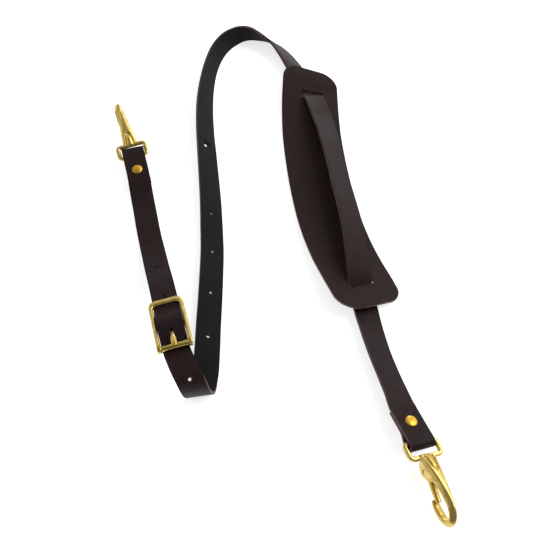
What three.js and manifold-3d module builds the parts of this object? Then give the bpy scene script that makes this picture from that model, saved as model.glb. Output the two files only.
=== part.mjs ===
// Leather shoulder strap, laid out on a table: one long strap from a snap hook through a slotted shoulder
// pad, round a standing bend and a U-bend, to its tip in a centre-bar buckle; a short strap from that
// buckle to the second snap hook. Millimetres, +Z up, table at z = 0, origin under the middle of its box.

import * as THREE from 'three';
import * as BufferGeometryUtils from 'three/addons/utils/BufferGeometryUtils.js';
import Module from 'manifold-3d';

const wasm = await Module();
wasm.setup();

// ---------------------------------------------------------------- driving dimensions

const FIT = 0.3;
const TABLE_GAP = 0.13;
const STRAP = { width: 25.4, thickness: 3.0, step: 6, tipCorner: 4 };
const LAYER_GAP = 0.35;
const LAYER_PITCH = STRAP.thickness + LAYER_GAP;
const HOLES = { diameter: 4, pitch: 50.8, count: 11, fromTip: 44.8, prongHole: 2, prongSlot: 8 };
const PAD = { width: 70, thickness: 2.8, step: 9, slotWidth: 32, slotLength: 13.5 };
const PAD_CORNERS = { startLeft: 19, startRight: 22, endLeft: 25, endRight: 14 };
const LOOP_BAR_RADIUS = 2.4;
const FOLD_RADIUS = LOOP_BAR_RADIUS + FIT + STRAP.thickness / 2;
const RIGHT_FOLD = { slack: 3, rivetAt: 17.5, back: 33.5, settle: 12 };
const LEFT_FOLD = { slack: 8.3, rivetAt: 20, back: 38, settle: 16 };
const RIVET = {
  capRadius: 5.85, capEdge: 0.35, capHeight: 1.3, shankRadius: 2, burrRadius: 5, burrHeight: 1,
};
const HOOK_LOOP = { width: 32, length: 15, corner: 3.6 };
const CHEEK = { inner: 3.7, outer: 6.7, holeRadius: 1.8 };
const GATE = { pivotAlong: 18, pivotUp: -6.4, eyeRadius: 3.4, pinRadius: 1.5, pinEnd: 0.6, width: 6.6 };
const BUCKLE = {
  width: 30.2, length: 51.6, corner: 6, rollerCorner: 2.2,
  sideWidth: 4.3, sideDepth: 4.6, topWidth: 6.4, topDepth: 5.2,
  pinRadius: 1.6, rollerInner: 2.0, rollerOuter: 2.9, rollerLength: 24.6,
  earRadius: 3.3, earWidth: 3.8, centreDrop: 3.6, centreRadius: 2.2, postLength: 6, postWidth: 4,
};
const PRONG = {
  width: 3.2, thickness: 2.2, eyeInner: 2.5, eyeWall: 1.5, slotLength: 18, slotWidth: 3.9, slotAlong: -4,
};
const BOX_CENTRE = new THREE.Vector3(-13.9, 51.01, -0.1);

const LEATHER = { color: 0x3a2c2a, roughness: 0.62, metalness: 0 };
const PAD_LEATHER = { color: 0x362927, roughness: 0.6, metalness: 0 };
const BRASS = { color: 0xc8a850, roughness: 0.28, metalness: 1 };
const RIVET_BRASS = { color: 0xc89830, roughness: 0.3, metalness: 1 };

// ---------------------------------------------------------------- routes and frames

const UP = new THREE.Vector3(0, 0, 1);
const radians = THREE.MathUtils.degToRad;

// A unit vector from its compass angle on the table (0 is +X, 90 is +Y) and its lift above the table.
function direction(azimuth, lift = 0) {
  const flat = Math.cos(radians(lift));
  return new THREE.Vector3(
    flat * Math.cos(radians(azimuth)), flat * Math.sin(radians(azimuth)), Math.sin(radians(lift)));
}

// A station of a route: the centre line's place and the direction from the right edge to the left edge.
function station([x, y, z, azimuth, lift]) {
  return { place: new THREE.Vector3(x, y, z), across: direction(azimuth, lift) };
}

// A station of a flat strap that leans on its lower edge: its centre's height follows from its lift.
function leaningStation([x, y, azimuth, lift]) {
  const tilt = radians(lift);
  const height = STRAP.width / 2 * Math.abs(Math.sin(tilt)) + STRAP.thickness / 2 * Math.cos(tilt);
  return station([x, y, height + TABLE_GAP, azimuth, lift]);
}

// A frame travels along a route: normal is the grain side, and along x across = normal.
function makeFrame(place, along, across) {
  const tangent = along.clone().normalize();
  const level = across.clone().addScaledVector(tangent, -across.dot(tangent)).normalize();
  return { place: place.clone(), along: tangent, across: level, normal: tangent.clone().cross(level) };
}

// Point of a frame, by its distances along the route, across it and up its normal.
function pointOf(frame, along, across, up) {
  return frame.place.clone()
    .addScaledVector(frame.along, along)
    .addScaledVector(frame.across, across)
    .addScaledVector(frame.normal, up);
}

// A smooth route through stations, that gives the frame at any distance along it.
class Route {
  constructor(stations) {
    this.places = new THREE.CatmullRomCurve3(stations.map((s) => s.place), false, 'centripetal');
    this.acrosses = new THREE.CatmullRomCurve3(stations.map((s) => s.across), false, 'centripetal');
    const count = stations.length * 30;
    this.marks = [{ t: 0, distance: 0 }];
    let before = this.places.getPoint(0);
    for (let i = 1; i <= count; i += 1) {
      const here = this.places.getPoint(i / count);
      const distance = this.marks[i - 1].distance + here.distanceTo(before);
      this.marks.push({ t: i / count, distance });
      before = here;
    }
    this.length = this.marks[count].distance;
  }

  // Place, tangent and across direction at a distance along the route; across may be slanted.
  at(distance) {
    const wanted = THREE.MathUtils.clamp(distance, 0, this.length);
    const after = Math.max(1, this.marks.findIndex((mark) => mark.distance >= wanted));
    const [a, b] = [this.marks[after - 1], this.marks[after]];
    const t = a.t + (b.t - a.t) * (wanted - a.distance) / (b.distance - a.distance);
    return {
      place: this.places.getPoint(t),
      tangent: this.places.getTangent(t),
      across: this.acrosses.getPoint(t),
    };
  }

  frameAt(distance) {
    const { place, tangent, across } = this.at(distance);
    return makeFrame(place, tangent, across);
  }

  // Frames at most a step apart, closer where the route bends or twists.
  frames(step) {
    const list = [this.frameAt(0)];
    let distance = 0;
    while (distance < this.length - 0.01) {
      const here = list[list.length - 1];
      const ahead = this.frameAt(distance + step / 4);
      const turning = 4 * (here.along.angleTo(ahead.along) + here.across.angleTo(ahead.across));
      const share = THREE.MathUtils.clamp(radians(18) / turning, 0.22, 1);
      distance = Math.min(distance + share * step, this.length);
      list.push(this.frameAt(distance));
    }
    return list;
  }
}

// ---------------------------------------------------------------- solids

function toGeometry(points, triangles) {
  const geometry = new THREE.BufferGeometry();
  geometry.setAttribute('position', new THREE.Float32BufferAttribute(points.flatMap((p) => p.toArray()), 3));
  geometry.setIndex(triangles.flat());
  geometry.computeVertexNormals();
  return geometry;
}

// A closed solid from one ring of points for each frame; a closed path joins its last ring to its first.
function skin(rings, closedPath = false) {
  const sides = rings[0].length;
  const triangles = [];
  const last = closedPath ? rings.length : rings.length - 1;
  for (let i = 0; i < last; i += 1) {
    const [near, far] = [i * sides, ((i + 1) % rings.length) * sides];
    for (let j = 0; j < sides; j += 1) {
      const k = (j + 1) % sides;
      triangles.push([near + j, near + k, far + k], [near + j, far + k, far + j]);
    }
  }
  if (!closedPath) {
    const end = (rings.length - 1) * sides;
    for (let j = 1; j < sides - 1; j += 1) {
      triangles.push([0, j + 1, j], [end, end + j, end + j + 1]);
    }
  }
  return toGeometry(rings.flat(), triangles);
}

// Rings of a flat strap; halfWidth gives its half width at a frame's index.
function strapRings(frames, thickness, halfWidth) {
  const half = thickness / 2;
  return frames.map((frame, i) => {
    const side = halfWidth(i);
    return [[side, -half], [side, half], [-side, half], [-side, -half]]
      .map(([across, up]) => pointOf(frame, 0, across, up));
  });
}

function ovalRing(frame, width, depth, sides = 12) {
  return Array.from({ length: sides }, (_, j) => {
    const angle = 2 * Math.PI * (j + 0.5) / sides;
    return pointOf(frame, 0, width / 2 * Math.cos(angle), depth / 2 * Math.sin(angle));
  });
}

function solidOf(geometry) {
  const bare = geometry.clone();
  bare.deleteAttribute('normal');
  bare.deleteAttribute('uv');
  const merged = BufferGeometryUtils.mergeVertices(bare, 1e-4);
  return new wasm.Manifold(new wasm.Mesh({
    numProp: 3,
    vertProperties: new Float32Array(merged.attributes.position.array),
    triVerts: new Uint32Array(merged.index.array),
  }));
}

function geometryOf(solid) {
  const mesh = solid.getMesh();
  const geometry = new THREE.BufferGeometry();
  geometry.setAttribute('position', new THREE.BufferAttribute(new Float32Array(mesh.vertProperties), 3));
  geometry.setIndex(new THREE.BufferAttribute(new Uint32Array(mesh.triVerts), 1));
  geometry.computeVertexNormals();
  return geometry;
}

const joined = (geometries) => geometryOf(geometries.map(solidOf).reduce((all, one) => all.add(one)));

const cut = (geometry, cutters) =>
  geometryOf(cutters.map(solidOf).reduce((rest, one) => rest.subtract(one), solidOf(geometry)));

function frameMatrix(frame) {
  return new THREE.Matrix4().makeBasis(frame.along, frame.across, frame.normal).setPosition(frame.place);
}

// A round bar across a frame, centred on a point of it.
function crossBar(frame, along, up, radius, length, sides = 16) {
  return new THREE.CylinderGeometry(radius, radius, length, sides)
    .translate(along, 0, up).applyMatrix4(frameMatrix(frame));
}

// A punch through a strap at a frame; stretch makes it an oblong slot along the strap.
function punch(frame, diameter, depth, stretch = 1) {
  return new THREE.CylinderGeometry(diameter / 2, diameter / 2, depth, 16)
    .rotateX(Math.PI / 2).scale(stretch, 1, 1).applyMatrix4(frameMatrix(frame));
}

function boxIn(frame, size, along, across, up) {
  return new THREE.BoxGeometry(...size).translate(along, across, up).applyMatrix4(frameMatrix(frame));
}

function mesh(name, geometry, finish) {
  const part = new THREE.Mesh(geometry, new THREE.MeshStandardMaterial(finish));
  part.name = name;
  return part;
}

// ---------------------------------------------------------------- where the hard pieces lie

// Each frame looks along the strap that leaves it: along is away from the bar, normal is the grain side.
function seat(x, y, z, azimuth, pitch, roll) {
  const along = direction(azimuth, pitch);
  const level = UP.clone().cross(along).normalize();
  return makeFrame(new THREE.Vector3(x, y, z), along, level.applyAxisAngle(along, radians(roll)));
}

const RIGHT_BAR = seat(134.2, -192.2, 13, 111, -8, 14);
const LEFT_BAR = seat(-157.6, 148.2, 10.8, -74.5, -7, 0);
const BUCKLE_MIDDLE = seat(-94.2, -90, 46.5, 105.5, -5, -3);
const CENTRE_BAR = { ...BUCKLE_MIDDLE, place: pointOf(BUCKLE_MIDDLE, 0, 0, -BUCKLE.centreDrop) };

// ---------------------------------------------------------------- straps

const stationsIn = (frame, rows) =>
  rows.map(([along, up]) => ({ place: pointOf(frame, along, 0, up), across: frame.across.clone() }));

// The half turn round a bar, from below it to above it; slack leaves room beyond the bar.
const foldTurn = (bar, slack) => stationsIn(bar, [-90, -60, -30, 0, 30, 60, 90].map((angle) =>
  [-slack - FOLD_RADIUS * Math.cos(radians(angle)), FOLD_RADIUS * Math.sin(radians(angle))]));

// Stations of a strap's end folded back under itself round a bar, from its raw end to the bar's top.
function foldStations(bar, { slack, back, settle }) {
  const under = FOLD_RADIUS - LAYER_PITCH;
  const lowered = (along) =>
    -FOLD_RADIUS + (FOLD_RADIUS + under) * (1 - Math.cos(Math.PI * along / settle)) / 2;
  const flat = [back, (back + settle) / 2, settle].map((along) => [along, under]);
  const settling = [0.75, 0.5, 0.25].map((part) => [part * settle, lowered(part * settle)]);
  return [...stationsIn(bar, [...flat, ...settling]), ...foldTurn(bar, slack)];
}

const leaving = (bar, alongs) => stationsIn(bar, alongs.map((along) => [along, FOLD_RADIUS]));

const reversed = (stations) =>
  stations.map(({ place, across }) => ({ place, across: across.clone().negate() })).reverse();

// Columns: x, y, z of the centre line, azimuth and lift of the across direction.
const UNDER_PAD_FROM_RIGHT_BAR = [
  [119, -144.5, 10.2, 198, 22],
  [113.8, -125, 7.5, 197, 25],
  [106.8, -100, 7, 195, 24],
  [101, -72, 6, 192, 19],
  [98.3, -55, 4.6, 190, 12],
  [96.9, -45, 4, 190, 9],
  [95.2, -34, 4.5, 190, 9],
];
const OVER_PAD = [
  [94, -27.5, 7, 192, 9],
  [93.2, -22, 10.2, 192, 9],
  [92.5, -16.5, 13.3, 191, 10],
  [91.8, -8, 16.3, 188, 12],
  [91, 6, 18.6, 185, 14],
  [90, 25, 20, 184, 18],
  [87.5, 50, 20.5, 186, 22],
  [84, 75, 20, 188, 25],
  [80.5, 98, 19, 188, 26],
  [77, 125, 18, 188, 26],
  [73.5, 152, 17, 190, 25],
  [69.5, 178, 16, 191, 22],
  [65, 202, 15, 191, 18],
  [60.5, 222, 14, 190, 14],
  [57, 238, 12.6, 188, 11],
];
const DOWN_THROUGH_SLOT = [
  [54.4, 247.5, 11, 186, 9],
  [52.6, 254, 7.5, 186, 8],
  [50.6, 260.5, 4.2, 188, 8],
  [47, 271, 3.5, 194, 9],
  [40, 287, 5, 203, 15],
];

// Columns: x and y of the centre line, azimuth and lift of the across direction. The strap leans on its
// lower edge here, so its height follows from its lift.
const STANDING_BEND = [
  [30.5, 307, 209, 27],
  [19, 329.5, 216, 36],
  [8, 345.5, 232, 44],
  [-4.5, 356.5, 256, 51],
  [-16, 362, 275, 61],
  [-25, 365, 287, 72],
  [-34, 365, 301, 82],
  [-44, 361, 137, 84],
  [-57, 350, 151.5, 72],
  [-68, 330, 162, 66],
  [-75, 303, 171, 64],
  [-79, 270, 177, 57],
  [-80, 236, 182, 48],
  [-78, 197, 186, 42],
  [-74, 158, 187, 37],
  [-70, 121, 187, 33],
  [-66.5, 86, 186, 29],
  [-64, 52, 184, 25],
  [-62, 20, 182, 23],
  [-61.5, -12, 181, 22],
  [-61.5, -42, 181, 20],
  [-61.8, -70, 181, 19],
  [-61.8, -93, 183, 16],
  [-62, -112, 185, 13],
];
const U_BEND = [
  [-62.3, -121, 3.45, 184, 8],
  [-63.2, -129, 2.65, 185, 3],
  [-64.2, -138, 2.95, 187, -3],
  [-65.4, -144.4, 6.6, 188, -3],
  [-66.6, -148.2, 14.6, 188, -2],
  [-67.8, -150.2, 24.2, 189, -1],
  [-69.2, -150, 33.4, 191, -1],
  [-72.4, -145.6, 42, 195, -1],
  [-79.4, -132.6, 44.6, 197.5, -1],
];
const FREE_END = [
  [-109.6, -34, 29.5, 198, 0],
  [-117, -9.3, 18.4, 196.5, 0],
  [-122.3, 9.5, 11.2, 196, 0],
  [-127.6, 28, 6.6, 196, 0],
  [-128.9, 32.6, 6, 196, 0],
];
const SHORT_STRAP = [
  [-145.4, 99.5, 4.2, 16, 0],
  [-141.2, 82, 1.55, 16, 0],
  [-138.3, 70, 1.55, 16, 0],
  [-135.5, 58, 1.55, 16, 0],
  [-132.5, 46, 1.55, 16, 0],
  [-127.6, 28, 3, 16, 0],
  [-122.3, 9.5, 7.6, 16, 0],
  [-117, -9.3, 14.6, 16.5, 0],
  [-109.6, -34, 25.7, 18, 0],
];

// The free end in the buckle's frame, from the roller to the top bar: it humps over the centre bar.
const THROUGH_BUCKLE = [[-25.8, -5.2], [-14, -1.4], [-7, 2.2], [0, 4.1], [7, 2.6], [14, -0.6], [25.8, -5.5]];

const longRoute = new Route([
  ...foldStations(RIGHT_BAR, RIGHT_FOLD),
  ...leaving(RIGHT_BAR, [8, 18, 27, 35]),
  ...[...UNDER_PAD_FROM_RIGHT_BAR, ...OVER_PAD, ...DOWN_THROUGH_SLOT].map(station),
  ...STANDING_BEND.map(leaningStation),
  ...U_BEND.map(station),
  ...stationsIn(BUCKLE_MIDDLE, THROUGH_BUCKLE),
  ...FREE_END.map(station),
]);

// The short strap under the free end in the buckle's frame: its raw end, then its layer above that.
const FOLDED_BACK = [[33, -14.5], [25.8, -12.9], [20, -10.6], [14, -8.2], [6, -7.9]];
const BELOW_FREE_END = [[7, -1.2], [14, -4.4], [25.8, -9.3]];

const shortRoute = new Route([
  ...foldStations(LEFT_BAR, LEFT_FOLD),
  ...leaving(LEFT_BAR, [8, 16, 26]),
  ...SHORT_STRAP.map(station),
  ...reversed([
    ...stationsIn(BUCKLE_MIDDLE, FOLDED_BACK),
    ...foldTurn(CENTRE_BAR, 0),
    ...stationsIn(BUCKLE_MIDDLE, BELOW_FREE_END),
  ]),
]);

// Half width of a strap with a cut tip: it narrows round the corner radius at its far end.
function tipHalfWidth(distanceToTip) {
  const inset = Math.max(0, STRAP.tipCorner - distanceToTip);
  const corner = STRAP.tipCorner;
  return STRAP.width / 2 - corner + Math.sqrt(corner * corner - inset * inset);
}

function longStrap() {
  const frames = longRoute.frames(STRAP.step);
  const last = frames.pop();
  const toTip = [0.9, 0.5, 0.15, 0].map((part) => part * STRAP.tipCorner);
  const corners = toTip.slice(0, -1).map((distance) => longRoute.frameAt(longRoute.length - distance));
  const body = skin(strapRings([...frames, ...corners, last], STRAP.thickness, (i) =>
    tipHalfWidth(i < frames.length ? STRAP.tipCorner : toTip[i - frames.length])));
  const holes = Array.from({ length: HOLES.count }, (_, i) => {
    const frame = longRoute.frameAt(longRoute.length - HOLES.fromTip - i * HOLES.pitch);
    const stretch = i === HOLES.prongHole ? HOLES.prongSlot / HOLES.diameter : 1;
    return punch(frame, HOLES.diameter, STRAP.thickness + 2, stretch);
  });
  return cut(body, [...holes, rivetPunch(RIGHT_BAR, RIGHT_FOLD)]);
}

function shortStrap() {
  const body = skin(strapRings(shortRoute.frames(STRAP.step), STRAP.thickness, () => STRAP.width / 2));
  const size = [PRONG.slotLength, PRONG.slotWidth, 4 * LAYER_PITCH];
  const prongSlot = boxIn(CENTRE_BAR, size, PRONG.slotAlong, 0, 0);
  return cut(body, [prongSlot, rivetPunch(LEFT_BAR, LEFT_FOLD)]);
}

// ---------------------------------------------------------------- rivets

// The rivet's frame: its origin is midway between the two layers, its normal points out of the grain side.
function rivetFrame(bar, fold) {
  return { ...bar, place: pointOf(bar, fold.rivetAt, 0, FOLD_RADIUS - LAYER_PITCH / 2) };
}

function rivetPunch(bar, fold) {
  return punch(rivetFrame(bar, fold), 2 * (RIVET.shankRadius + FIT), 3 * LAYER_PITCH);
}

function rivet(bar, fold) {
  const { capRadius, capEdge, capHeight, shankRadius, burrRadius, burrHeight } = RIVET;
  const face = LAYER_PITCH / 2 + STRAP.thickness / 2 + FIT;
  const dome = Array.from({ length: 6 }, (_, i) => {
    const angle = radians(90 * i / 6);
    return new THREE.Vector2(
      capRadius * Math.cos(angle), face + capEdge + (capHeight - capEdge) * Math.sin(angle));
  });
  const profile = [
    new THREE.Vector2(0, -face - burrHeight),
    new THREE.Vector2(burrRadius - 0.6, -face - burrHeight),
    new THREE.Vector2(burrRadius, -face),
    new THREE.Vector2(shankRadius, -face),
    new THREE.Vector2(shankRadius, face),
    new THREE.Vector2(capRadius, face),
    ...dome,
    new THREE.Vector2(0, face + capHeight),
  ];
  return new THREE.LatheGeometry(profile, 24)
    .rotateX(Math.PI / 2).applyMatrix4(frameMatrix(rivetFrame(bar, fold)));
}

// ---------------------------------------------------------------- shoulder pad

// Columns: x, y, z of the pad's middle line, azimuth and lift of its across direction.
const PAD_LINE = [
  [51, 294, 12.8, 163, 5],
  [50.5, 281, 11.6, 165, 5],
  [50, 264.5, 9.2, 168, 5],
  [49.5, 245, 6.8, 172, 3],
  [49.5, 221.5, 4.4, 176, 1],
  [50.5, 190, 2.4, 180, 0],
  [54, 148, 1.9, 184, 0],
  [60, 100, 2.2, 187, 1],
  [67, 60, 3.5, 190, 3],
  [77, 22, 5.8, 195, 6],
  [87, -6, 8.4, 199, 9],
  [95, -26, 10.4, 200, 10],
  [101, -42, 11.6, 200, 11],
  [104.5, -51, 12, 200, 11],
];

const padRoute = new Route(PAD_LINE.map(station));
const PAD_SLOTS = [
  { distance: 39.8, across: -2.6 },
  { distance: padRoute.length - 31.5, across: -0.5 },
];

// How far a round corner draws the pad's side in, at a distance from the pad's end.
function cornerInset(radius, toEnd) {
  const inside = Math.max(0, radius - toEnd);
  return radius - Math.sqrt(radius * radius - inside * inside);
}

function padRing(distance) {
  const { place, tangent, across } = padRoute.at(distance);
  const frame = { place, along: tangent, across: across.normalize() };
  frame.normal = tangent.clone().cross(across).normalize();
  const toEnd = padRoute.length - distance;
  const left = PAD.width / 2
    - cornerInset(PAD_CORNERS.startLeft, distance) - cornerInset(PAD_CORNERS.endLeft, toEnd);
  const right = PAD.width / 2
    - cornerInset(PAD_CORNERS.startRight, distance) - cornerInset(PAD_CORNERS.endRight, toEnd);
  const half = PAD.thickness / 2;
  return [[left, -half], [left, half], [-right, half], [-right, -half]]
    .map(([side, up]) => pointOf(frame, 0, side, up));
}

function shoulderPad() {
  const corner = [0, 0.8, 2.4, 5, 8.5, 13, 18.5];
  const farCorner = corner.map((distance) => padRoute.length - distance).reverse();
  const first = PAD_CORNERS.endLeft;
  const steps = Math.ceil((padRoute.length - 2 * first) / PAD.step);
  const between = Array.from({ length: steps + 1 }, (_, i) =>
    first + i * (padRoute.length - 2 * first) / steps);
  const distances = [...corner, ...between, ...farCorner];
  const slots = PAD_SLOTS.map(({ distance, across }) => {
    const { place, tangent, across: side } = padRoute.at(distance);
    const frame = makeFrame(place, side.clone().cross(tangent.clone().cross(side)), side);
    return new THREE.BoxGeometry(PAD.slotLength, PAD.slotWidth, 3 * PAD.thickness)
      .translate(0, across, 0).applyMatrix4(frameMatrix(frame));
  });
  return cut(skin(distances.map(padRing)), slots);
}

// ---------------------------------------------------------------- closed rings of bar

// Frames round a rounded rectangle in a frame's along-across plane, wide across and long along.
function ringFrames(frame, width, length, farCorner, nearCorner = farCorner) {
  const frames = [];
  const arcSteps = 5;
  [[1, 1], [-1, 1], [-1, -1], [1, -1]].forEach(([long, wide], quarter) => {
    const corner = long > 0 ? farCorner : nearCorner;
    for (let i = 0; i <= arcSteps; i += 1) {
      const angle = radians(90 * (quarter + i / arcSteps));
      const place = pointOf(frame, long * (length / 2 - corner) + corner * Math.cos(angle),
        wide * (width / 2 - corner) + corner * Math.sin(angle), 0);
      const outward = frame.along.clone().multiplyScalar(Math.cos(angle))
        .addScaledVector(frame.across, Math.sin(angle));
      frames.push(makeFrame(place, frame.normal.clone().cross(outward), outward.negate()));
    }
  });
  return frames;
}

// ---------------------------------------------------------------- buckle

function buckleFrame() {
  const { width, length, corner, rollerCorner, sideWidth, sideDepth, topWidth, topDepth, pinRadius } = BUCKLE;
  const outline = ringFrames(BUCKLE_MIDDLE, width, length, corner, rollerCorner);
  const rings = outline.map((frame) => {
    const along = frame.place.clone().sub(BUCKLE_MIDDLE.place).dot(BUCKLE_MIDDLE.along);
    const topShare = THREE.MathUtils.smoothstep(along, length / 2 - corner, length / 2);
    const pinShare = THREE.MathUtils.smoothstep(-along, length / 2 - rollerCorner, length / 2);
    const bar = THREE.MathUtils.lerp(sideWidth, topWidth, topShare);
    const deep = THREE.MathUtils.lerp(sideDepth, topDepth, topShare);
    return ovalRing(frame, THREE.MathUtils.lerp(bar, 2 * pinRadius, pinShare),
      THREE.MathUtils.lerp(deep, 2 * pinRadius, pinShare));
  });
  const drop = BUCKLE.centreDrop;
  const centreBar = crossBar(BUCKLE_MIDDLE, 0, -drop, BUCKLE.centreRadius, width, 12);
  const post = [BUCKLE.postLength, BUCKLE.postWidth, drop];
  const posts = [-1, 1].map((side) => boxIn(BUCKLE_MIDDLE, post, 0, side * (width / 2), -drop / 2));
  const earAcross = BUCKLE.rollerLength / 2 + FIT + BUCKLE.earWidth / 2;
  const ears = [-1, 1].map((side) => crossBar(
    { ...BUCKLE_MIDDLE, place: pointOf(BUCKLE_MIDDLE, 0, side * earAcross, 0) },
    -length / 2, 0, BUCKLE.earRadius, BUCKLE.earWidth));
  return joined([skin(rings, true), centreBar, ...posts, ...ears]);
}

function buckleRoller() {
  const half = BUCKLE.rollerLength / 2;
  const profile = [
    new THREE.Vector2(BUCKLE.rollerInner, -half),
    new THREE.Vector2(BUCKLE.rollerOuter, -half),
    new THREE.Vector2(BUCKLE.rollerOuter, half),
    new THREE.Vector2(BUCKLE.rollerInner, half),
    new THREE.Vector2(BUCKLE.rollerInner, -half),
  ];
  return new THREE.LatheGeometry(profile, 24)
    .translate(-BUCKLE.length / 2, 0, 0).applyMatrix4(frameMatrix(BUCKLE_MIDDLE));
}

// Columns: distance along the buckle's frame, height, width and thickness of the prong.
const PRONG_ROWS = [
  [-2.2, -0.9, PRONG.width, 2],
  [-5, -1.2, PRONG.width, PRONG.thickness],
  [-9, 0.1, PRONG.width, PRONG.thickness],
  [-13, 2.6, PRONG.width, PRONG.thickness],
  [-16.5, 3.9, 3.8, 2],
  [-20.5, 4.4, 5.4, 1.8],
  [-25, 4.5, 5.2, 1.8],
  [-28, 4.2, 3, 1.4],
];

function sweepRows(frame, rows, sides = 12) {
  const places = rows.map(([along, up]) => pointOf(frame, along, 0, up));
  return skin(rows.map(([, , width, depth], i) => {
    const [before, after] = [places[Math.max(0, i - 1)], places[Math.min(rows.length - 1, i + 1)]];
    return ovalRing(makeFrame(places[i], after.clone().sub(before), frame.across), width, depth, sides);
  }));
}

function buckleProng() {
  const [inner, outer] = [PRONG.eyeInner, PRONG.eyeInner + PRONG.eyeWall];
  const eye = new THREE.LatheGeometry([
    new THREE.Vector2(inner, -PRONG.width / 2),
    new THREE.Vector2(outer, -PRONG.width / 2),
    new THREE.Vector2(outer, PRONG.width / 2),
    new THREE.Vector2(inner, PRONG.width / 2),
    new THREE.Vector2(inner, -PRONG.width / 2),
  ], 20).applyMatrix4(frameMatrix(CENTRE_BAR));
  return joined([eye, sweepRows(BUCKLE_MIDDLE, PRONG_ROWS)]);
}

// ---------------------------------------------------------------- snap hooks

// The frames of a hook's strap loop and of its body: along points from the loop to the tip, the normal is
// the side of the spine. The loop's bar lies in the strap's fold, barBack behind the fold's frame, swung
// across the strap and pitched out of it; the body is turned about its length on the loop.
function hookFrames(bar, { barBack, swing, pitch, turn }) {
  const aim = new THREE.Quaternion().setFromAxisAngle(bar.normal, radians(swing))
    .multiply(new THREE.Quaternion().setFromAxisAngle(bar.across, radians(pitch)));
  const along = bar.along.clone().negate().applyQuaternion(aim);
  const across = bar.across.clone().negate().applyQuaternion(aim);
  const middle = pointOf(bar, -barBack, 0, 0).addScaledVector(along, HOOK_LOOP.length / 2);
  return {
    loop: makeFrame(middle, along, across),
    body: makeFrame(middle, along, across.clone().applyAxisAngle(along, radians(turn))),
  };
}

// Columns: distance from the loop's middle, height, width and depth of the cast spine and nose.
const SPINE_ROWS = [
  [5.5, 0, 16.8, 4.4],
  [9, 0.3, 17.2, 6],
  [14, 0.6, 16.6, 7.4],
  [20, 1.2, 15.2, 7.8],
  [28, 1.8, 13.2, 7.6],
  [36.3, 2.2, 11.6, 7],
  [44.6, 2.2, 10.2, 6.6],
  [53, 1.4, 9, 6.4],
  [59.4, -0.8, 8.4, 6.2],
  [64.1, -4.4, 8.2, 6.2],
  [65.8, -9, 8.2, 6],
  [63.9, -13.6, 8.2, 6],
  [59, -16.4, 8.4, 6],
  [53, -17.1, 8.4, 5.8],
  [45.7, -16.8, 8, 4.2],
  [41.2, -15.4, 7.4, 3.2],
];

// Distance from the loop's middle and height round the plate on each side of the gate.
const CHEEK_OUTLINE = [
  [7, 1], [9.5, -5.5], [13, -8.4], [17.5, -9.6], [21.5, -9.4], [26, -7.4], [30, -4.4], [31, 0],
];

// Columns: distance from the loop's middle, height, width and depth of the gate.
const GATE_ROWS = [
  [18, -6.6, 6.6, 5.6],
  [24, -8, 6.6, 5.4],
  [32, -9.6, 6.4, 5.2],
  [40.4, -11.2, 6.2, 4.8],
  [45.6, -12, 6, 4.2],
];

function hookBody({ loop: loopFrame, body: frame }) {
  const ring = ringFrames(loopFrame, HOOK_LOOP.width, HOOK_LOOP.length, HOOK_LOOP.corner);
  const loop = skin(ring.map((place) => ovalRing(place, 2 * LOOP_BAR_RADIUS, 2 * LOOP_BAR_RADIUS, 14)), true);
  const outline = new THREE.Shape(CHEEK_OUTLINE.map(([along, up]) => new THREE.Vector2(along, up)));
  const thickness = CHEEK.outer - CHEEK.inner;
  const plates = [CHEEK.inner, -CHEEK.outer].map((across) => {
    const plate = new THREE.ExtrudeGeometry(outline, { depth: thickness, bevelEnabled: false });
    return plate.rotateX(Math.PI / 2).translate(0, across + thickness, 0).applyMatrix4(frameMatrix(frame));
  });
  const body = joined([loop, sweepRows(frame, SPINE_ROWS, 14), ...plates]);
  const pinHole = crossBar(frame, GATE.pivotAlong, GATE.pivotUp, CHEEK.holeRadius, 3 * CHEEK.outer);
  return cut(body, [pinHole]);
}

function hookGate({ body: frame }) {
  const eye = crossBar(frame, GATE.pivotAlong, GATE.pivotUp, GATE.eyeRadius, GATE.width, 20);
  const pin = crossBar(frame, GATE.pivotAlong, GATE.pivotUp, GATE.pinRadius, 2 * (CHEEK.outer + GATE.pinEnd));
  return joined([eye, pin, sweepRows(frame, GATE_ROWS)]);
}

// ---------------------------------------------------------------- the whole strap

const layout = new THREE.Group();
layout.position.copy(BOX_CENTRE).negate();
const rightHook = hookFrames(RIGHT_BAR, { barBack: 1.2, swing: -1.6, pitch: -3, turn: -13 });
const leftHook = hookFrames(LEFT_BAR, { barBack: 2.4, swing: 4, pitch: 9, turn: 7 });
layout.add(
  mesh('long_strap', longStrap(), LEATHER),
  mesh('short_strap', shortStrap(), LEATHER),
  mesh('shoulder_pad', shoulderPad(), PAD_LEATHER),
  mesh('buckle_frame', buckleFrame(), BRASS),
  mesh('buckle_roller', buckleRoller(), BRASS),
  mesh('buckle_prong', buckleProng(), BRASS),
  mesh('hook_right', hookBody(rightHook), BRASS),
  mesh('gate_right', hookGate(rightHook), BRASS),
  mesh('rivet_right', rivet(RIGHT_BAR, RIGHT_FOLD), RIVET_BRASS),
  mesh('hook_left', hookBody(leftHook), BRASS),
  mesh('gate_left', hookGate(leftHook), BRASS),
  mesh('rivet_left', rivet(LEFT_BAR, LEFT_FOLD), RIVET_BRASS),
);

export default layout;
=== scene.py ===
"""Looks of the leather shoulder strap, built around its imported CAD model.

Shapes are worked out in millimetres on the strap's own layout, and become metres in the CAD's frame
in piece().
"""

import math
from bisect import bisect_left

import bmesh
import bpy
from mathutils import Matrix, Quaternion, Vector, noise


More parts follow.
